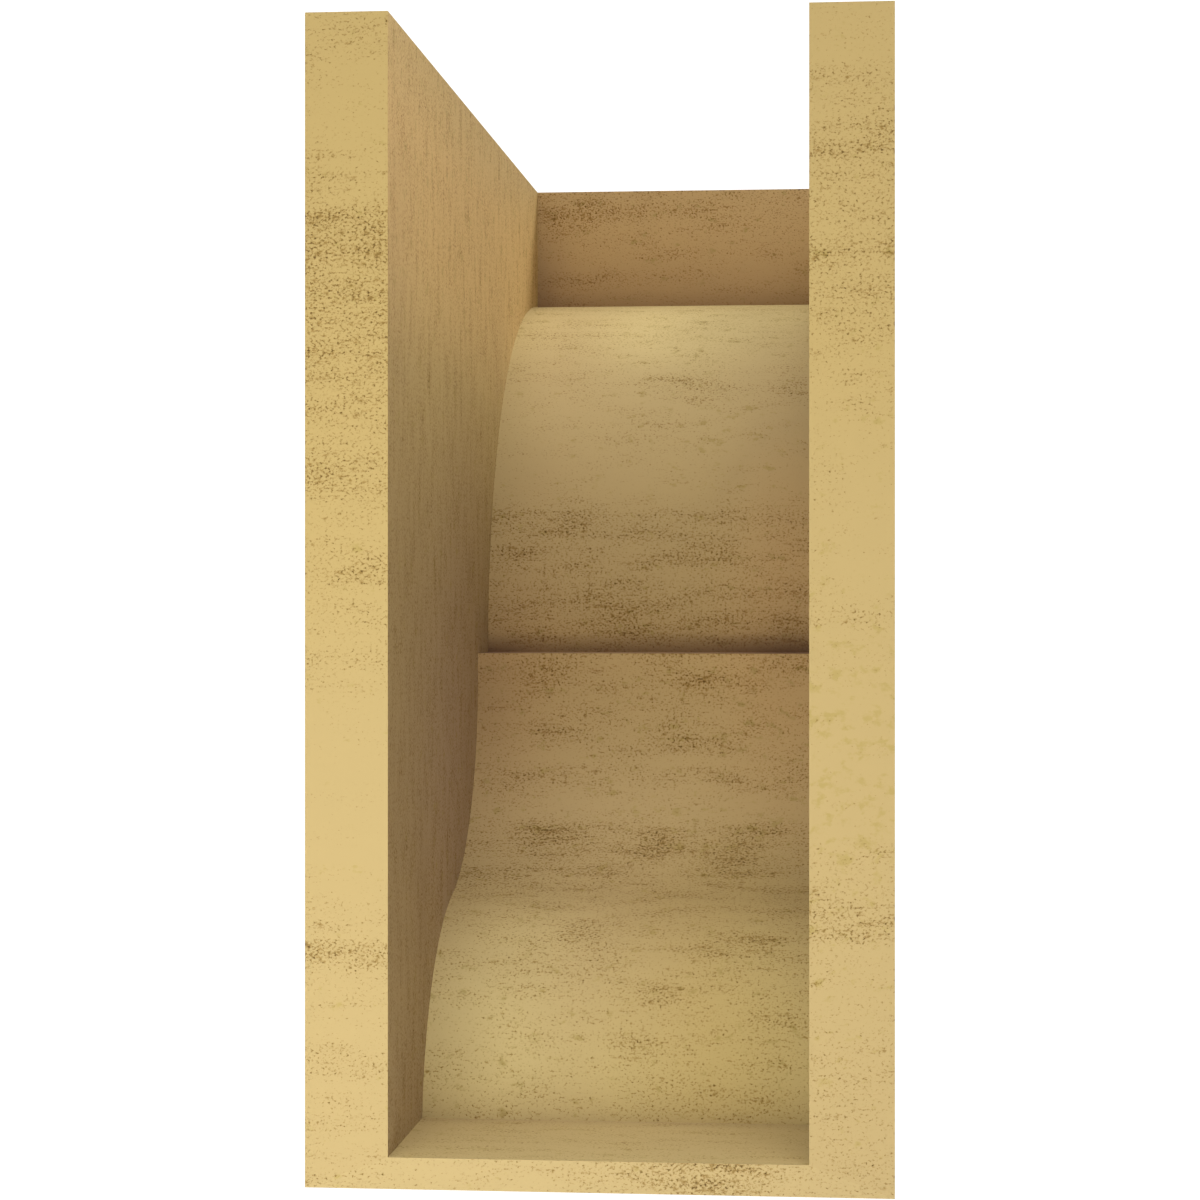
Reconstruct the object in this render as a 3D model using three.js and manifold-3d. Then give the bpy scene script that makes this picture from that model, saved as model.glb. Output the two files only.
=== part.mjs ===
// Corbel with an open back and an open top, moulded as one shell.
// Millimetres. X runs across the width, the front faces -Y, and +Z is up.
// The back rim lies in the plane Y = 0, and the origin is the middle of its bottom rail.
import * as THREE from "three";
import { mergeVertices } from "three/addons/utils/BufferGeometryUtils.js";
import Module from "manifold-3d";

// Overall size
const width = 152.4;
const height = 304.8;
const projection = 304.8; // from the wall plane to the fascia

// Walls
const sideWall = 21.8; // each cheek
const shellWall = 8.2; // front shell, and the bottom plate with its rail

// Front profile, measured on the outside. A depth is a distance from the wall plane.
const fasciaHeight = 51.1;
const ledgeHeight = 127.3; // underside of the ledge above the bottom edge
const coveFoot = 181.1; // depth of the cove where it drops to the ledge
const ogeeTop = 159.6; // depth of the S-curve under the ledge
const ogeeFoot = 58.3; // depth of the S-curve at the bottom edge
const ogeeBelly = 72.7; // radius of its upper, rounded half

// Fineness of the curves
const degreesPerStep = 2.5;
const cutOverrun = 10; // how far the hollow's cutter runs past the open back and top

// Finish
const finish = { colour: 0xc9ad72, roughness: 0.75, metalness: 0 };

const { acos, asin, cos, sin } = Math;
const { degToRad, radToDeg } = THREE.MathUtils;

const wasm = await Module();
wasm.setup();

// Points of an elliptical arc about (depth, z), from one angle to another in degrees.
// Angle 0 points to the wall, and 90 points up.
function arc(depth, z, reach, rise, from, to) {
  const steps = Math.max(2, Math.ceil(Math.abs(to - from) / degreesPerStep));
  return Array.from({ length: steps + 1 }, (_, i) => {
    const angle = degToRad(from + ((to - from) * i) / steps);
    return new THREE.Vector2(depth - reach * cos(angle), z + rise * sin(angle));
  });
}

// S-curve: two arcs with a common tangent, the upper one round towards the front and the
// lower one hollow. Both ends stand upright.
function ogee(inset) {
  const run = ogeeTop - ogeeFoot;
  const bothRadii = (run * run + ledgeHeight * ledgeHeight) / (2 * run);
  const turn = radToDeg(acos(1 - run / bothRadii));
  const belly = ogeeBelly - inset;
  const hollowRadius = bothRadii - ogeeBelly;
  const lowerRadius = hollowRadius + inset;
  const start = radToDeg(asin(inset / lowerRadius));
  const lower = arc(ogeeFoot + hollowRadius, 0, lowerRadius, lowerRadius, start, turn);
  const upper = arc(ogeeTop - ogeeBelly, ledgeHeight, belly, belly, 180 + turn, 180);
  return [...lower, ...upper.slice(1)];
}

// Cove: a quarter ellipse, upright where it drops to the ledge and level where the fascia
// cuts it off.
function cove(inset) {
  const base = ledgeHeight + shellWall;
  const reach = projection - coveFoot + inset;
  const rise = height - fasciaHeight - base + inset;
  const end = radToDeg(acos(inset / reach));
  return arc(projection, base, reach, rise, 0, end);
}

// Side outline of the corbel from the wall plane round the front, set back by inset.
// With inset 0 it is the outside, and with shellWall it is the face of the hollow.
function sideOutline(inset, back, top) {
  const ledge = ledgeHeight + inset;
  const points = [
    new THREE.Vector2(back, inset),
    ...ogee(inset),
    new THREE.Vector2(ogeeTop - inset, ledge),
    new THREE.Vector2(coveFoot - inset, ledge),
    ...cove(inset),
    new THREE.Vector2(projection - inset, top),
    new THREE.Vector2(back, top),
  ];
  return points.filter((p, i) => i === 0 || p.distanceTo(points[i - 1]) > 1e-3);
}

// A solid with a side outline of (depth, z), centred across the width.
function acrossWidth(outline, span) {
  const geometry = new THREE.ExtrudeGeometry(new THREE.Shape(outline), {
    depth: span,
    bevelEnabled: false,
  });
  geometry.translate(0, -shellWall / 2, -span / 2);
  geometry.rotateX(Math.PI / 2); // the outline's height turns to +Z
  geometry.rotateZ(-Math.PI / 2); // and its depth to -Y
  geometry.deleteAttribute("normal");
  geometry.deleteAttribute("uv");
  const merged = mergeVertices(geometry, 1e-4);
  return new wasm.Manifold(
    new wasm.Mesh({
      numProp: 3,
      vertProperties: merged.attributes.position.array,
      triVerts: new Uint32Array(merged.index.array),
    }),
  );
}

// The whole block inside the outer profile.
function block() {
  return acrossWidth(sideOutline(0, 0, height), width);
}

// The hollow between the cheeks, which runs out through the open back and the open top.
function hollow() {
  const outline = sideOutline(shellWall, -cutOverrun, height + cutOverrun);
  return acrossWidth(outline, width - 2 * sideWall);
}

function meshOf(solid, name, look) {
  const { vertProperties, triVerts } = solid.getMesh();
  const geometry = new THREE.BufferGeometry();
  geometry.setAttribute("position", new THREE.BufferAttribute(vertProperties, 3));
  geometry.setIndex(new THREE.BufferAttribute(triVerts, 1));
  const material = new THREE.MeshStandardMaterial({
    color: look.colour,
    roughness: look.roughness,
    metalness: look.metalness,
    flatShading: true,
  });
  const mesh = new THREE.Mesh(geometry, material);
  mesh.name = name;
  return mesh;
}

const corbel = new THREE.Group();
corbel.add(meshOf(block().subtract(hollow()), "corbel_shell", finish));

export default corbel;
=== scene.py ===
import math

import bmesh
import bpy
import numpy as np
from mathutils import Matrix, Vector


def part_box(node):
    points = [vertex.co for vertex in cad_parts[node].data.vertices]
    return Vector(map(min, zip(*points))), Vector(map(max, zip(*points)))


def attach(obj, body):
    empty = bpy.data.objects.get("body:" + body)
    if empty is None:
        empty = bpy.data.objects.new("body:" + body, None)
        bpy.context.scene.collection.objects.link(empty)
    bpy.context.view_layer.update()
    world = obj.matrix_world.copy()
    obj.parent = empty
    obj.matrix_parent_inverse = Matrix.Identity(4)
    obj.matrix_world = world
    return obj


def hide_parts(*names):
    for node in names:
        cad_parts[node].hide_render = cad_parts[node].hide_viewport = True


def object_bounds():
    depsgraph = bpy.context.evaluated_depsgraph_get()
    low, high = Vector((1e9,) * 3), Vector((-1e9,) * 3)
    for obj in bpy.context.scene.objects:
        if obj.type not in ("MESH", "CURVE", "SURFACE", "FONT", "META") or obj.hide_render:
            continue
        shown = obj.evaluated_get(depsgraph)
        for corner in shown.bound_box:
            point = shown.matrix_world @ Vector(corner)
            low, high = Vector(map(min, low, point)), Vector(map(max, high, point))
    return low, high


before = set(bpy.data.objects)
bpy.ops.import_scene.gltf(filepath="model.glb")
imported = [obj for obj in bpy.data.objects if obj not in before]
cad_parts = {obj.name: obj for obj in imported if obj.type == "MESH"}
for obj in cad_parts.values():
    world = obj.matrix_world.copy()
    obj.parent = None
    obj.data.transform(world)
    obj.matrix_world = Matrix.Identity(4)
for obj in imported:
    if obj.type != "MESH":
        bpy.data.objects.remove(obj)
cadLow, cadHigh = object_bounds()
print("frame loaded:", len(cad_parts), "node, box", [round(v, 4) for v in (*cadLow, *cadHigh)])


# Camera

photoSize = 1200  # pixels, both ways
photoCamera = {
    "place": (-0.0708, 0.6547, 0.1482),  # metres, behind the wall plane
    "turn": 184.883,  # degrees about Z from looking along +Y
    "sensor": 36,  # millimetres
    "focalPixels": 2563.1,
    "axisX": 654.7,  # pixel that the lens axis meets
    "axisY": 600.3,
}


def makeCamera(look):
    # lens / sensor = focal pixels / picture's pixels, and the shift puts the lens axis on its pixel
    data =bpy.data.cameras.new("photoCamera")
    data.sensor_width = look["sensor"]
    data.lens = look["sensor"] * look["focalPixels"] / photoSize
    data.shift_x = 0.5 - look["axisX"] / photoSize
    data.shift_y = look["axisY"] / photoSize - 0.5
    camera = bpy.data.objects.new("photoCamera", data)
    camera.location = look["place"]
    camera.rotation_euler = (math.radians(90), 0, math.radians(look["turn"]))
    bpy.context.scene.collection.objects.link(camera)
    bpy.context.scene.camera = camera


makeCamera(photoCamera)
print("camera placed")


# Shell

boxLow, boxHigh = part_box("corbel_shell")
shell = {
    "halfWidth": boxHigh.x,
    "bottom": boxLow.z,
    "height": boxHigh.z - boxLow.z,
    "projection": boxHigh.y - boxLow.y,
    "cheek": 0.0218,  # wall thicknesses, in metres as all sizes here
    "wall": 0.0082,
    "fasciaHeight": 0.0511,
    "ledgeHeight": 0.1273,
    "coveFoot": 0.1811,  # depths from the wall plane
    "ogeeTop": 0.1596,
    "ogeeFoot": 0.0583,
    "ogeeBelly": 0.0727,  # radius
    "step": 0.0032,  # spacing of the mesh
    "rayStep": 0.00416,  # and along the rays over the cheeks
    "arris": 0.0004,  # how much the sharp edges are taken off
    "arrisSegments": 2,
    "arrisAngle": 30,  # degrees, edges flatter than this stay as they are
    "cheekShift": 0.9,  # where the grain starts on the cheeks, so that no two faces match
    "backRimShift": 2,
    "topRimShift": 3,
}
sameSpot = 1e-6  # metres, points nearer than this are one


def spread(start, end, step):
    # points on the straight line start + (end - start) * t, at equal steps of t
    start, end = np.array(start, float), np.array(end, float)
    count = max(1, round(float(np.linalg.norm(end - start)) / step))
    t = np.linspace(0, 1, count + 1)[:, None]
    return start + (end - start) * t


def arc(centre, reach, rise, angles, step):
    # ellipse: depth = centre - reach * cos(a), height = centre + rise * sin(a), a in radians
    first, last = angles
    count = max(4, round(abs(last - first) * max(reach, rise) / step))
    a = np.linspace(first, last, count + 1)
    return np.stack([centre[0] - reach * np.cos(a), centre[1] + rise * np.sin(a)], 1)


def sideProfile(s, inset):
    # (depth, height) from the wall plane along the bottom and up the front, set back by inset:
    # straight, two tangent arcs of the S-curve, ledge, quarter ellipse of the cove, straight fascia
    step = s["step"]
    run, drop = s["ogeeTop"] - s["ogeeFoot"], s["ledgeHeight"]
    bothRadii = (run ** 2 + drop ** 2) / (2 * run)
    turn = math.acos(1 - run / bothRadii)
    hollow = bothRadii - s["ogeeBelly"]
    start = math.asin(inset / (hollow + inset))
    lower = arc((s["ogeeFoot"] + hollow, 0), hollow + inset, hollow + inset, (start, turn), step)
    belly = s["ogeeBelly"] - inset
    upper = arc((s["ogeeTop"] - s["ogeeBelly"], drop), belly, belly, (math.pi + turn, math.pi), step)

    base = drop + s["wall"]
    reach = s["projection"] - s["coveFoot"] + inset
    rise = s["height"] - s["fasciaHeight"] - base + inset
    cove = arc((s["projection"], base), reach, rise, (0, math.acos(inset / reach)), step)

    ledge = drop + inset
    lip, corner = (s["ogeeTop"] - inset, ledge), (s["coveFoot"] - inset, ledge)
    floor = spread((0, inset), lower[0], step)
    toLedge = spread(upper[-1], lip, step)
    alongLedge = spread(lip, corner, step)
    toCove = spread(corner, cove[0], step)
    fascia = spread(cove[-1], (s["projection"] - inset, s["height"]), step)
    points = np.concatenate([floor, lower, upper, toLedge, alongLedge, toCove, cove, fascia])
    gaps = np.linalg.norm(np.diff(points, axis=0), axis=1)
    return points[np.concatenate([[True], gaps > sameSpot])]


def ruled(first, second, count):
    # straight lines between two rows of points: p(i, t) = first(i) + (second(i) - first(i)) * t
    t = np.linspace(0, 1, count + 1)[None, :, None]
    return first[:, None, :] * (1 - t) + second[:, None, :] * t


def lengthAlong(profile):
    # running length of a profile
    return np.concatenate([[0], np.cumsum(np.linalg.norm(np.diff(profile, axis=0), axis=1))])


def place(s, x, depth, height):
    # row frame from side coordinates: p = (x, -depth, height + bottom)
    return np.stack(np.broadcast_arrays(x, -np.asarray(depth), np.asarray(height) + s["bottom"]), -1)


def gather(name, patches):
    # one mesh from grids of points: every cell of a grid is a four-sided face, and each grid brings
    # its surface coordinates in metres and its painted cover, whose last layer is the hue, the painted
    # colour of light and shade
    points, faces, grain, cover, paintedLightHue, smooth, total = [], [], [], [], [], [], 0
    for patch in patches:
        rows, columns = patch["grid"].shape[:2]
        index = np.arange(rows * columns).reshape(rows, columns) + total
        total += rows * columns
        cells = np.stack([index[:-1, :-1], index[1:, :-1], index[1:, 1:], index[:-1, 1:]], -1)
        faces.append(cells.reshape(-1, 4))
        points.append(patch["grid"].reshape(-1, 3))
        grain.append(patch["grain"].reshape(-1, 2))
        cover.append(patch["cover"][..., :4].reshape(-1, 4))
        paintedLightHue.append(patch["cover"][..., 4].reshape(-1))
        smooth.append(np.full(cells[..., 0].size, patch["smooth"]))
    faces = np.concatenate(faces)
    corners = faces.reshape(-1)
    mesh = bpy.data.meshes.new(name)
    mesh.from_pydata(np.concatenate(points).tolist(), [], faces.tolist())
    surface = mesh.uv_layers.new(name="grain")
    surface.data.foreach_set("uv", np.concatenate(grain)[corners].astype(np.float32).ravel())
    paint = mesh.color_attributes.new(name="cover", type="FLOAT_COLOR", domain="CORNER")
    paint.data.foreach_set("color", np.concatenate(cover)[corners].astype(np.float32).ravel())
    tint = mesh.attributes.new(name="paintedLightHue", type="FLOAT", domain="CORNER")
    tint.data.foreach_set("value", np.concatenate(paintedLightHue)[corners].astype(np.float32))
    mesh.polygons.foreach_set("use_smooth", np.concatenate(smooth))
    return mesh


# What the skin carries in each area: pits; tone, pale above 0 and warm below, partly the skin's own
# and partly painted light where light falls on the cove's top and the S-curve's foot and painted
# shade on the fascia and the hollow's shaded sides; blotches; painted shade, darker and browner in
# the corners, creases and shaded parts; and hue, mauve above 0 and straw below, the painted colour
# of shade and of light. Bands are (height, amount), joined by straight lines,
# and one band alone holds everywhere. Spots are (X, height, half width, half height, amount), with
# the depth in place of X on the cheeks' inner faces and the plate. All in millimetres, heights from
# the bottom edge; right is +X.
coverLayers = ("pits", "toneAndPaintedLight", "blotches", "paintedShade", "paintedLightHue")
depthAreas = ("cheekInside", "plate")
cover = {
    "rimRight": {
        "pits": [
            (0, 0.15), (27, 0.2), (31, 0.4), (35, 0.4), (38, 0.05), (56, 0.1), (59, 0.58), (63, 0.58),
            (66, 0.25), (74, 0.25), (80, -0.2), (124, -0.2), (130, 0.2), (155, 0.25), (157, 0.5),
            (162, 0.5), (166, 0.2), (176, 0.25), (181, 0.4), (204, 0.45), (211, 0.62), (240, 0.62),
            (246, 0.7), (252, 0.65), (263, 0.3), (272, 0.1), (288, 0.05), (294, 0.25), (305, 0.25),
        ],
        "pitsSpots": [
            (62, 61, 12, 3, 0.25), (72, 267, 5, 3, 0.25), (70, 184, 8, 4, 0.3), (60, 246, 12, 4, 0.15),
        ],
        "blotchesSpots": [(66, 232, 12, 5, 0.3)],
        "paintedLightHue": [(0, 0.1), (120, 0), (160, -0.3), (200, -0.4), (305, -0.4)],
    },
    "rimLeft": {
        "pits": [
            (0, 0.2), (23, 0.3), (35, 0.3), (38, 0.15), (64, 0.15), (66, 0.5), (76, 0.5), (79, 0.25),
            (89, 0.25), (92, -0.25), (129, -0.25), (133, 0), (145, 0), (147, 0.35), (150, 0.35),
            (155, -0.1), (200, 0), (206, 0.25), (214, 0.25), (221, 0.45), (236, 0.45), (240, 0.55),
            (246, 0.45), (265, 0.42), (268, 0.6), (272, 0.5), (278, 0.27), (283, 0.35), (287, 0.3),
            (293, 0), (305, 0),
        ],
        "pitsSpots": [(-62, 184, 4, 4, 0.25), (-60, 168, 5, 3, 0.25), (-63, 100, 5, 3, 0.3)],
        "blotches": [(0, 0.2), (60, 0.3), (88, 0.7), (138, 0.7), (150, 0.25), (305, 0.1)],
        "paintedLightHue": [(0, 0.1), (120, 0), (180, -0.15), (220, -0.35), (305, -0.25)],
    },
    "rimBottom": {
        "pits": [(0, 0.2)],
        "pitsSpots": [(-28, 4, 24, 30, 0.58)],
        "toneAndPaintedLight": [(0, 0.1)],
        "paintedLightHue": [(0, 0.12)],
    },
    "plate": {
        "pits": [(0, 0.3)],
        "toneAndPaintedLight": [(0, 0.4)],
        "toneAndPaintedLightSpots": [(0, 8, 22, 40, 0.15)],
        "blotches": [(0, 0.2)],
        # painted shade in the crease where the plate meets the S-curve
        "paintedShadeSpots": [(51, 8, 6, 40, 0.26)],
        "paintedLightHue": [(0, 0.1)],
    },
    "hollow": {
        "pits": [
            (8, 0.3), (24, 0.3), (33, 0.25), (41, 0.35), (52, 0.35), (58, 0.38), (62, 0.42), (66, 0.54),
            (82, 0.5), (86, 0.2), (91, 0.2), (94, 0.4), (98, 0.4), (102, 0.3), (107, 0.38), (120, 0.4),
            (124, 0.42), (135, 0.55), (140, 0.65), (152, 0.58), (160, 0.45), (182, 0.48), (188, 0.05),
            (222, 0.15), (228, 0.25), (240, 0.25), (243, 0.35), (262, 0.35),
        ],
        "pitsSpots": [
            (40, 243, 16, 3, 0.15), (50, 229, 8, 4, 0.25), (5, 227, 9, 3, 0.35), (-14, 223, 12, 4, 0.5),
            (-41, 223, 9, 3, 0.4), (-1, 212, 15, 3, 0.3), (8, 207, 15, 3, 0.2), (-11, 193, 8, 3, 0.2),
            (30, 179, 9, 4, 0.3), (46, 167, 9, 5, 0.35), (-15, 170, 12, 5, 0.3), (21, 154, 9, 4, 0.3),
            (36, 127, 8, 3, 0.35), (-16, 126, 8, 3, 0.35), (-26, 127, 8, 3, 0.2), (38, 122, 8, 3, 0.1),
            (25, 111, 8, 3, 0.25), (-9, 106, 9, 3, 0.5), (-23, 108, 8, 3, 0.25), (41, 94, 9, 3, 0.35),
            (27, 96, 8, 3, 0.2), (-29, 96, 8, 3, 0.35), (-3, 77, 9, 4, 0.4), (27, 80, 18, 4, 0.25),
            (-32, 77, 6, 4, 0.25), (-42, 83, 7, 3, 0.2), (-26, 73, 8, 3, 0.15), (36, 70, 18, 4, 0.15),
            (12, 56, 9, 3, 0.4), (-37, 54, 9, 3, 0.4), (12, 47, 9, 3, 0.15), (-24, 52, 8, 3, 0.2),
            (-11, 41, 9, 3, 0.3), (-42, 36, 8, 3, 0.3), (-4, 30, 9, 3, 0.35), (24, 28, 8, 3, 0.1),
            (-30, 13, 18, 6, 0.2), (-32, 26, 16, 16, 0.08),
        ],
        # tone: painted light, paler on the cove's top and the S-curve's foot, and painted shade, warmer
        # on the hollow's shaded side and under the ledge
        "toneAndPaintedLight": [
            (8, 0.45), (22, 0.5), (34, 0.25), (60, 0.05), (110, -0.25), (135, -0.55), (155, -0.2),
            (175, 0), (190, 0.15), (210, 0.3), (228, 0.35), (245, 0.65), (262, 0.65),
        ],
        "toneAndPaintedLightSpots": [
            (44, 35, 24, 25, 0.9), (30, 57, 18, 7, 0.35), (-40, 46, 18, 26, 0.42),
            (-46, 150, 20, 60, -0.9), (48, 125, 18, 40, -0.5), (36, 245, 14, 22, -0.3),
            (-4, 243, 26, 16, 0.5), (-36, 254, 16, 6, 0.5), (40, 195, 16, 16, -0.12),
        ],
        "blotches": [
            (0, 0.2), (60, 0.3), (80, 0.35), (125, 0.3), (150, 0.2), (200, 0.2), (235, 0.3), (262, 0.3),
        ],
        "blotchesSpots": [(-30, 84, 20, 8, 0.3), (-30, 115, 20, 8, 0.25), (-20, 208, 24, 12, 0.35)],
        # painted shade in the crease over the plate and on the hollow's shaded sides
        "paintedShade": [(8.2, 0.2), (11, 0.08), (17, 0)],
        "paintedShadeSpots": [(-46, 150, 20, 60, 0.22), (52, 124, 16, 32, 0.32)],
        "paintedLightHue": [(0, 0.1), (135, 0.1), (262, 0.05)],
        "paintedLightHueSpots": [(-30, 30, 26, 36, -0.48)],
    },
    "fascia": {
        "pits": [(262, 0.32), (268, 0.28), (286, 0.3), (292, 0.45), (305, 0.5)],
        "pitsSpots": [
            (35, 296, 16, 6, 0.4), (42, 269, 12, 4, 0.35), (27, 275, 6, 3, 0.4), (-3, 276, 7, 3, 0.3),
        ],
        # warm all over, partly painted shade
        "toneAndPaintedLight": [(0, -1)],
        "blotches": [(0, 0.2)],
        # painted shade at the fascia's foot and at its end corner
        "paintedShade": [(261.9, 0.57), (264, 0.53), (267, 0.38), (280, 0.12), (292, 0)],
        "paintedShadeSpots": [(54, 276, 10, 26, 0.25)],
        "paintedLightHue": [(0, 0.1)],
    },
    "cheekInside": {
        "pits": [(0, 0.55), (150, 0.53), (210, 0.5), (305, 0.46)],
        "toneAndPaintedLight": [(0, 0), (215, 0), (250, -0.8), (280, -1), (305, -0.5)],
        "toneAndPaintedLightSpots": [(80, 160, 26, 45, 0.2)],
        "blotches": [(0, 0.3), (150, 0.3), (220, 0.5), (305, 0.5)],
        # painted shade near the back rim and in the wall's shaded parts
        "paintedShadeSpots": [
            (0, 90, 45, 120, 0.28), (0, 240, 40, 50, 0.18), (51, 66, 12, 25, 0.15),
            (133, 103, 12, 20, 0.1), (197, 233, 20, 20, 0.1), (10, 137, 14, 22, -0.07),
        ],
        # hue: straw towards the lit top and a mauve spot on the deep wall in shade, the painted colour of
        # light and shade
        "paintedLightHue": [(0, 0.1), (180, 0), (240, -0.15), (305, -0.25)],
        "paintedLightHueSpots": [(110, 100, 80, 80, 0.85), (35, 12, 40, 26, 0.3)],
    },
    "outside": {
        "pits": [(0, 0.35)],
    },
}
# the cove goes on as the hollow below it, apart from its own painted shade in the corner over the ledge
cover["cove"] = {
    **cover["hollow"],
    "paintedShade": [(135.5, 0.75), (138, 0.5), (141, 0.12), (144, 0)],
    "paintedShadeSpots": cover["hollow"]["paintedShadeSpots"] + [(42, 138, 16, 7, -0.13), (-25, 137, 30, 4, 0.07)],
}


def paintedCover(area, x, height):
    # amount = bands(height) + sum of amount * exp(-(dx / w)^2 - (dz / h)^2), for each of the layers
    x, height = np.broadcast_arrays(x * 1000, height * 1000)  # millimetres
    layers = []
    for key in coverLayers:
        heights, amounts = np.array(area.get(key, [(0, 0)])).T
        layer = np.interp(height, heights, amounts)
        for spotX, spotHeight, wide, tall, amount in area.get(key + "Spots", []):
            away = ((x - spotX) / wide) ** 2 + ((height - spotHeight) / tall) ** 2
            layer = layer + amount * np.exp(-away)
        layers.append(np.clip(layer, -1, 1))
    return np.stack(layers, -1)


def makeShell(s):
    # one closed surface: both outlines swept across, a fan of rays over each side of each cheek,
    # and rims ruled from the outer edges to the inner ones
    outer, inner =sideProfile(s, 0), sideProfile(s, s["wall"])
    halfOut, halfIn = s["halfWidth"], s["halfWidth"] - s["cheek"]
    share = np.linspace(-1, 1, round(2 * halfOut / s["step"]) + 1)
    patches = []

    def patch(grid, grain, area, smooth=False):
        # a grid with its paint, which goes by height and by X or depth
        sideways = -grid[..., 1] if area in depthAreas else grid[..., 0]
        painted = paintedCover(cover[area], sideways, grid[..., 2] - s["bottom"])
        patches.append({"grid": grid, "grain": grain, "cover": painted, "smooth": smooth})

    def sweep(profile, half, area, first, last):
        # a profile swept straight across: p(i, x) = (x, profile(i))
        x = share[None, :] * half
        grid = place(s, x, profile[:, :1], profile[:, 1:])
        grain = np.stack(np.broadcast_arrays(x, lengthAlong(profile)[:, None]), -1)
        patch(grid[first:last], grain[first:last], area, smooth=True)

    # front shell, outside and inside; the paint changes where the plate ends, at the ledge's lip
    # and at the fascia's foot
    bend = int(np.argmax(inner[:, 1] > s["wall"] + sameSpot)) - 1
    lip = int(np.argmax(inner[:, 1] > s["ledgeHeight"] + s["wall"] - sameSpot))
    crease = int(np.argmax(inner[:, 0] > s["projection"] - s["wall"] - sameSpot))
    sweep(outer, halfOut, "outside", 0, None)
    sweep(inner, halfIn, "plate", 0, bend + 1)
    sweep(inner, halfIn, "hollow", bend, lip + 1)
    sweep(inner, halfIn, "cove", lip, crease + 1)
    sweep(inner, halfIn, "fascia", crease, None)

    # cheeks: rays from the top back corner to the profile, so p = corner + (profile - corner) * t
    corner = np.array([0, s["height"]])
    t = np.linspace(0, 1, round(s["height"] / s["rayStep"]) + 1)[None, :, None]
    fans = {}
    for area, profile, half in (("outside", outer, halfOut), ("cheekInside", inner, halfIn)):
        fan = corner + (profile[:, None, :] - corner) * t
        fans[area] = fan
        for side in (-1, 1):
            grid = place(s, side * half, fan[..., 0], fan[..., 1])
            # the streaks of the cheeks stand upright
            grain = np.stack([fan[..., 1], fan[..., 0] + s["cheekShift"] * side], -1)
            patch(grid, grain, area)

    # back rim and top rim, mitred: two cheek strips and the rail between them
    strips = round(s["cheek"] / s["step"])
    for edge, isBack in ((0, True), (-1, False)):
        lineOut, lineIn = fans["outside"][edge], fans["cheekInside"][edge]
        pairs = [
            (place(s, side * halfOut, *lineOut.T), place(s, side * halfIn, *lineIn.T), area)
            for side, area in ((-1, "rimLeft"), (1, "rimRight"))
        ]
        railOut = place(s, share * halfOut, *lineOut[-1])
        pairs.append((railOut, place(s, share * halfIn, *lineIn[-1]), "rimBottom"))
        shift = s["backRimShift"] if isBack else s["topRimShift"]
        for first, second, area in pairs:
            grid = ruled(first, second, strips)
            grain = np.stack([grid[..., 0], grid[..., 2 if isBack else 1]], -1)
            patch(grid, grain + shift, area if isBack else "outside")

    piece = bpy.data.objects.new("corbel_shell_finish", gather("corbel_shell_finish", patches))
    bpy.context.scene.collection.objects.link(piece)
    work = bmesh.new()
    work.from_mesh(piece.data)
    bmesh.ops.remove_doubles(work, verts=work.verts, dist=sameSpot)
    bmesh.ops.recalc_face_normals(work, faces=work.faces)
    loose = sum(1 for e in work.edges if len(e.link_faces) != 2)
    litres = round(work.calc_volume(signed=True) * 1000, 3)
    print("shell made:", len(work.faces), "faces,", loose, "open edges,", litres, "litres")
    work.to_mesh(piece.data)
    work.free()
    return piece


corbelShell = makeShell(shell)
bevel = corbelShell.modifiers.new("arris", "BEVEL")
bevel.width = shell["arris"]
bevel.segments = shell["arrisSegments"]
bevel.limit_method = "ANGLE"
bevel.angle_limit = math.radians(shell["arrisAngle"])
bevel.harden_normals = True
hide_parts("corbel_shell")
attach(corbelShell, "root")


# Finish

tanSkin = {
    "base": (0.44, 0.335, 0.138),
    # pale is partly painted light, where light falls, and warm partly painted shade
    "pale": (0.6, 0.5, 0.215),
    "warm": (0.565, 0.39, 0.158),
    # mauve is the painted colour of shade and straw that of light
    "mauve": (0.44, 0.33, 0.235),
    "straw": (0.46, 0.337, 0.1),
    # painted shade colour, laid over the corners, creases and shaded parts
    "paintedShade": (0.18, 0.1, 0.05),
    "blotch": (0.365, 0.282, 0.072),
    "pitEdge": (0.64, 0.55, 0.34),  # share of the colour around it that a pit keeps at its edge
    "pitCore": (0.31, 0.24, 0.1),  # and what its middle keeps of that
    "roughness": 0.7,
    "pitRoughness": 0.15,  # more of it in the pits
    "depth": 0.00025,  # of the pits, in metres
    "relief": 0.6,  # strength of the bump
    "sway": 1.8,  # how far the clouds break up the painted cover
    "coarseShare": 0.6,  # strength of the coarse pits beside the fine ones
    "blotchShare": 0.65,
    "edgeFrom": (0.0, 0.5),  # where in the mask a pit's edge and its middle set in
    "coreFrom": (0.35, 0.95),
    "clouds": {"Length": 0.019, "Height": 0.005, "Seed": 3.0},
    # Size is across the streaks in metres, and Stretch times that along them. A mask starts where
    # the cloud passes Limit and is full at Softness more, and Reach is how far the cover lifts it.
    "fine": {
        "Size": 0.00065, "Stretch": 1.2, "Seed": 11.0, "Limit": 0.48, "Softness": 0.32, "Reach": 0.17,
    },
    "coarse": {
        "Size": 0.0014, "Stretch": 1.35, "Seed": 17.0, "Limit": 0.53, "Softness": 0.24, "Reach": 0.18,
    },
    "blotches": {
        "Size": 0.0036, "Stretch": 1.2, "Seed": 23.0, "Limit": 0.54, "Softness": 0.16, "Reach": 0.17,
    },
}
mixSockets = (0, 6, 7)  # factor, A and B of a colour mix, by number because their names repeat
mixResult = 2


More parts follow.
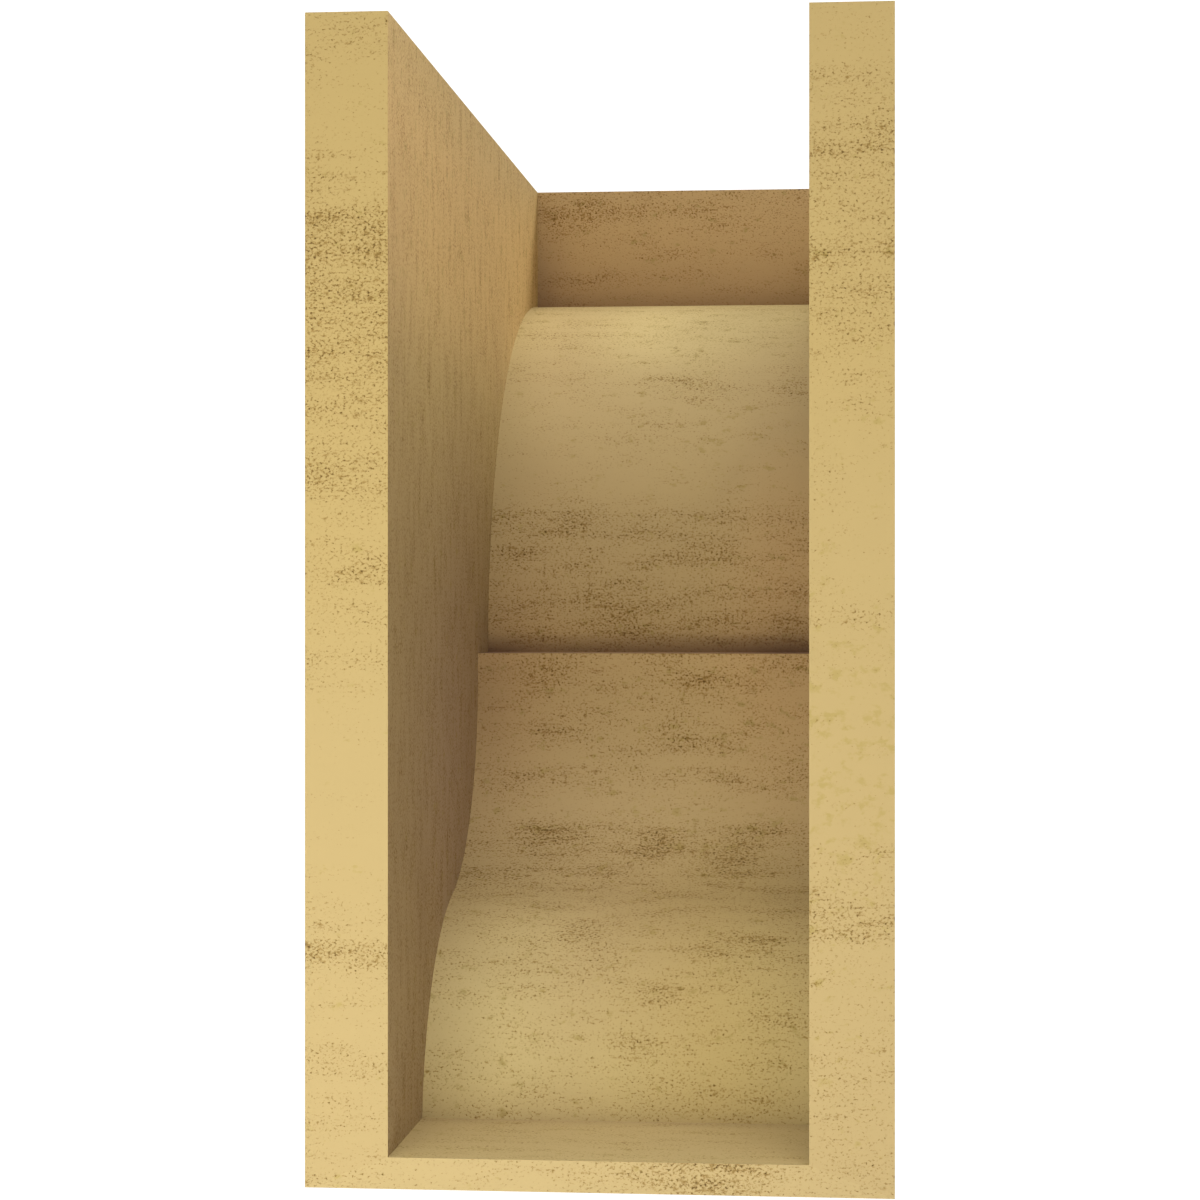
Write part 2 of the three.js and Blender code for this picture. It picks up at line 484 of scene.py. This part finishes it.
def wire(tree, source, target):
    # a socket is linked, and anything else is set as the value
    if isinstance(source, bpy.types.NodeSocket):
        tree.links.new(source, target)
    else:
        target.default_value = source


def calc(tree, operation, *values):
    # one sum on sockets and numbers, in the node's own order
    node =tree.nodes.new("ShaderNodeMath")
    node.operation = operation
    for value, socket in zip(values, node.inputs):
        wire(tree, value, socket)
    return node.outputs[0]


def smoothStep(tree, value, low, high):
    # 0 up to low, 1 from high on, and 3 t^2 - 2 t^3 between them
    node =tree.nodes.new("ShaderNodeMapRange")
    node.interpolation_type = "SMOOTHSTEP"
    for key, source in (("Value", value), ("From Min", low), ("From Max", high)):
        wire(tree, source, node.inputs[key])
    return node.outputs["Result"]


def blend(tree, share, first, second, mode="MIX"):
    # first + (second - first) * share, and with MULTIPLY first * second stands in second's place
    node =tree.nodes.new("ShaderNodeMix")
    node.data_type = "RGBA"
    node.blend_type = mode
    for index, source in zip(mixSockets, (share, first, second)):
        isColour = isinstance(source, tuple)
        wire(tree, (*source, 1) if isColour else source, node.inputs[index])
    return node.outputs[mixResult]


def startGroup(name, inputs, outputs):
    # an empty node group, with what it is given and what it puts out
    group =bpy.data.node_groups.new(name, "ShaderNodeTree")
    for label, kind, value in inputs:
        socket = group.interface.new_socket(name=label, in_out="INPUT", socket_type=kind)
        if value is not None:
            socket.default_value = value
    for label, kind in outputs:
        group.interface.new_socket(name=label, in_out="OUTPUT", socket_type=kind)
    return group, group.nodes.new("NodeGroupInput").outputs, group.nodes.new("NodeGroupOutput").inputs


def useGroup(tree, group, **values):
    # the group placed in a material or another group, with its own values
    node =tree.nodes.new("ShaderNodeGroup")
    node.node_tree = group
    for label, source in values.items():
        wire(tree, source, node.inputs[label])
    return node.outputs


def makeStreaks():
    # cloud drawn out along the streaks: noise of (along / Length, across / Height)
    group, given, out = startGroup(
        "streaks",
        [("Vector", "NodeSocketVector", None), ("Length", "NodeSocketFloat", 0.025),
         ("Height", "NodeSocketFloat", 0.005), ("Seed", "NodeSocketFloat", 0.0),
         ("Detail", "NodeSocketFloat", 4.0)],
        [("Value", "NodeSocketFloat")],
    )
    parts = group.nodes.new("ShaderNodeSeparateXYZ")
    wire(group, given["Vector"], parts.inputs[0])
    joined = group.nodes.new("ShaderNodeCombineXYZ")
    wire(group, calc(group, "DIVIDE", parts.outputs[0], given["Length"]), joined.inputs[0])
    wire(group, calc(group, "DIVIDE", parts.outputs[1], given["Height"]), joined.inputs[1])
    wire(group, given["Seed"], joined.inputs[2])
    noise = group.nodes.new("ShaderNodeTexNoise")
    wire(group, joined.outputs[0], noise.inputs["Vector"])
    wire(group, given["Detail"], noise.inputs["Detail"])
    noise.inputs["Scale"].default_value = 1  # the division above has set the scale
    noise.inputs["Roughness"].default_value = 0.6
    wire(group, noise.outputs[0], out["Value"])
    return group


def makePits(streaks):
    # pits where a fine streak cloud, lifted by (Cover - half) * Reach, passes the Limit
    group, given, out = startGroup(
        "pits",
        [("Vector", "NodeSocketVector", None), ("Cover", "NodeSocketFloat", 0.5),
         ("Size", "NodeSocketFloat", 0.001), ("Stretch", "NodeSocketFloat", 1.6),
         ("Seed", "NodeSocketFloat", 0.0), ("Limit", "NodeSocketFloat", 0.7),
         ("Softness", "NodeSocketFloat", 0.2), ("Reach", "NodeSocketFloat", 0.3)],
        [("Mask", "NodeSocketFloat")],
    )
    length = calc(group, "MULTIPLY", given["Size"], given["Stretch"])
    cloud = useGroup(
        group, streaks, Vector=given["Vector"], Length=length, Height=given["Size"],
        Seed=given["Seed"], Detail=3.0,
    )["Value"]
    lift = calc(group, "MULTIPLY", calc(group, "SUBTRACT", given["Cover"], 0.5), given["Reach"])
    level = calc(group, "ADD", cloud, lift)
    top = calc(group, "ADD", given["Limit"], given["Softness"])
    wire(group, smoothStep(group, level, given["Limit"], top), out["Mask"])
    return group


def makeTanSkin(look):
    # moulded tan, coloured and pitted where the paint on the mesh says
    material =bpy.data.materials.new("tanSkin")
    material.use_nodes = True
    tree = material.node_tree
    shader = tree.nodes["Principled BSDF"]
    surface = tree.nodes.new("ShaderNodeUVMap")
    surface.uv_map = "grain"
    spot = surface.outputs[0]
    painted = tree.nodes.new("ShaderNodeAttribute")
    painted.attribute_name = "cover"
    layers = tree.nodes.new("ShaderNodeSeparateColor")
    wire(tree, painted.outputs["Color"], layers.inputs[0])
    pitCover, toneAndPaintedLight, blotchCover = layers.outputs
    tint = tree.nodes.new("ShaderNodeAttribute")
    tint.attribute_name = "paintedLightHue"
    paintedLightHue = tint.outputs["Fac"]

    streaks = makeStreaks()
    pits = makePits(streaks)

    # the painted cover broken up by long clouds
    cloud = useGroup(tree, streaks, Vector=spot, **look["clouds"])["Value"]
    sway = calc(tree, "MULTIPLY", calc(tree, "SUBTRACT", cloud, 0.5), look["sway"])
    pitAmount = calc(tree, "ADD", pitCover, sway)
    blotchAmount = calc(tree, "ADD", blotchCover, sway)
    fine = useGroup(tree, pits, Vector=spot, Cover=pitAmount, **look["fine"])["Mask"]
    coarse = useGroup(tree, pits, Vector=spot, Cover=pitAmount, **look["coarse"])["Mask"]
    smudge = useGroup(tree, pits, Vector=spot, Cover=blotchAmount, **look["blotches"])["Mask"]
    pitted = calc(tree, "MAXIMUM", fine, calc(tree, "MULTIPLY", coarse, look["coarseShare"]))

    # quiet colour with painted light and shade in its tone and hue, olive blotches a few millimetres
    # wide, pits that darken it, and painted shade over all; a mix takes a share below nothing as none, so
    # each layer's two signs are two mixes
    # painted light and shade: paler where light falls and warmer in shaded parts, partly the skin's own
    # tone
    colour = blend(tree, toneAndPaintedLight, look["base"], look["pale"])
    colour = blend(tree, calc(tree, "MULTIPLY", toneAndPaintedLight, -1), colour, look["warm"])
    # painted colour of light and shade: mauve in shade, straw in light
    colour = blend(tree, paintedLightHue, colour, look["mauve"])
    colour = blend(tree, calc(tree, "MULTIPLY", paintedLightHue, -1), colour, look["straw"])
    colour = blend(tree, calc(tree, "MULTIPLY", smudge, look["blotchShare"]), colour, look["blotch"])
    edge = smoothStep(tree, pitted, *look["edgeFrom"])
    core = smoothStep(tree, pitted, *look["coreFrom"])
    colour = blend(tree, edge, colour, look["pitEdge"], "MULTIPLY")
    colour = blend(tree, core, colour, look["pitCore"], "MULTIPLY")
    # painted shade, where the cover's alpha says, over everything else
    colour = blend(tree, painted.outputs["Alpha"], colour, look["paintedShade"])
    wire(tree, colour, shader.inputs["Base Color"])

    rough = calc(tree, "MULTIPLY_ADD", pitted, look["pitRoughness"], look["roughness"])
    wire(tree, rough, shader.inputs["Roughness"])
    bump = tree.nodes.new("ShaderNodeBump")
    bump.inputs["Distance"].default_value = look["depth"]
    bump.inputs["Strength"].default_value = look["relief"]
    wire(tree, calc(tree, "SUBTRACT", 1.0, pitted), bump.inputs["Height"])
    wire(tree, bump.outputs[0], shader.inputs["Normal"])
    return material


corbelShell.data.materials.append(makeTanSkin(tanSkin))
print("finish made")


# Studio

studio = {
    "floorDrop": 1.0,  # the corbel hangs on a wall, so the floor lies this far below it
    "floorHalf": 30.0,
    "floorWhite": 0.9,
    "floorRoughness": 0.9,
    "sky": (0.545, 0.525, 0.51),
    "backdrop": 1.15,  # brightness of sky and floor as seen by the camera
}

# Directions are degrees round from the open back towards -X, and degrees up.
farLights = [
    {"name": "zenith", "round": 0, "up": 90, "strength": 0.7, "tint": (1, 0.94, 0.91), "spread": 24},
    {"name": "overhead", "round": 0, "up": 70, "strength": 0.54, "tint": (1, 0.92, 0.88), "spread": 24},
    {"name": "sideKey", "round": 120, "up": 40, "strength": 1.8, "tint": (1, 0.92, 0.82), "spread": 24},
    {"name": "frontFill", "round": 195, "up": 25, "strength": 0.55, "tint": (1, 0.95, 0.9), "spread": 40},
    {"name": "backFill", "round": 30, "up": 50, "strength": 0.25, "tint": (1, 0.88, 0.96), "spread": 24},
]
nearLights = [
    {"name": "lowPanel", "place": (0.2, 0.25, -0.1), "watts": 0.42, "tint": (1, 1, 0.74), "size": 0.25},
    {"name": "panel", "place": (0.08, 0.35, 0.1), "watts": 0.5, "tint": (1, 0.96, 0.85), "size": 0.25},
]
panelAim = (0, 0, 0.05)


def whiteForCamera(tree, shaderNode, brightness, end):
    # the camera sees an even white there, and the corbel is lit by the shader as it is
    path = tree.nodes.new("ShaderNodeLightPath")
    glow = tree.nodes.new("ShaderNodeEmission")
    glow.inputs["Strength"].default_value = brightness
    mix = tree.nodes.new("ShaderNodeMixShader")
    wire(tree, path.outputs["Is Camera Ray"], mix.inputs[0])
    wire(tree, shaderNode.outputs[0], mix.inputs[1])
    wire(tree, glow.outputs[0], mix.inputs[2])
    wire(tree, mix.outputs[0], end.inputs["Surface"])


def makeFloor(s):
    # flat square z = constant
    half, z = s["floorHalf"], cadLow.z - s["floorDrop"]
    corners = [(-half, -half, z), (half, -half, z), (half, half, z), (-half, half, z)]
    mesh = bpy.data.meshes.new("floor")
    mesh.from_pydata(corners, [], [(0, 1, 2, 3)])
    floor = bpy.data.objects.new("floor", mesh)
    bpy.context.scene.collection.objects.link(floor)
    material = bpy.data.materials.new("paleFloor")
    material.use_nodes = True
    nodes = material.node_tree.nodes
    shader = nodes["Principled BSDF"]
    shader.inputs["Base Color"].default_value = (*(s["floorWhite"],) * 3, 1)
    shader.inputs["Roughness"].default_value = s["floorRoughness"]
    whiteForCamera(material.node_tree, shader, s["backdrop"], nodes["Material Output"])
    floor.data.materials.append(material)


def makeSky(s):
    # even light from all round
    world =bpy.data.worlds.new("softSky")
    bpy.context.scene.world = world
    world.use_nodes = True
    nodes = world.node_tree.nodes
    background = nodes["Background"]
    background.inputs["Color"].default_value = (*s["sky"], 1)
    whiteForCamera(world.node_tree, background, s["backdrop"], nodes["World Output"])


def makeLight(look, kind, spot, facing, strength):
    # a lamp shines along its own -Z, which is turned to face that way
    data =bpy.data.lights.new(look["name"], kind)
    data.energy = strength
    data.color = look["tint"]
    lamp = bpy.data.objects.new(look["name"], data)
    lamp.location = spot
    lamp.rotation_euler = Vector(facing).to_track_quat("-Z", "Y").to_euler()
    bpy.context.scene.collection.objects.link(lamp)
    return data


def makeLights():
    # each sun shines back from where its angles point, and the panels face one spot in the shell
    for look in farLights:
        turn, up = math.radians(look["round"]), math.radians(look["up"])
        facing = (math.sin(turn) * math.cos(up), -math.cos(turn) * math.cos(up), -math.sin(up))
        sun = makeLight(look, "SUN", (0, 0, 1), facing, look["strength"])
        sun.angle = math.radians(look["spread"])
    for look in nearLights:
        facing = Vector(panelAim) - Vector(look["place"])
        panel = makeLight(look, "AREA", look["place"], facing, look["watts"])
        panel.size = look["size"]


makeFloor(studio)
makeSky(studio)
makeLights()
bpy.context.scene.view_settings.view_transform = "Standard"
print("studio made")
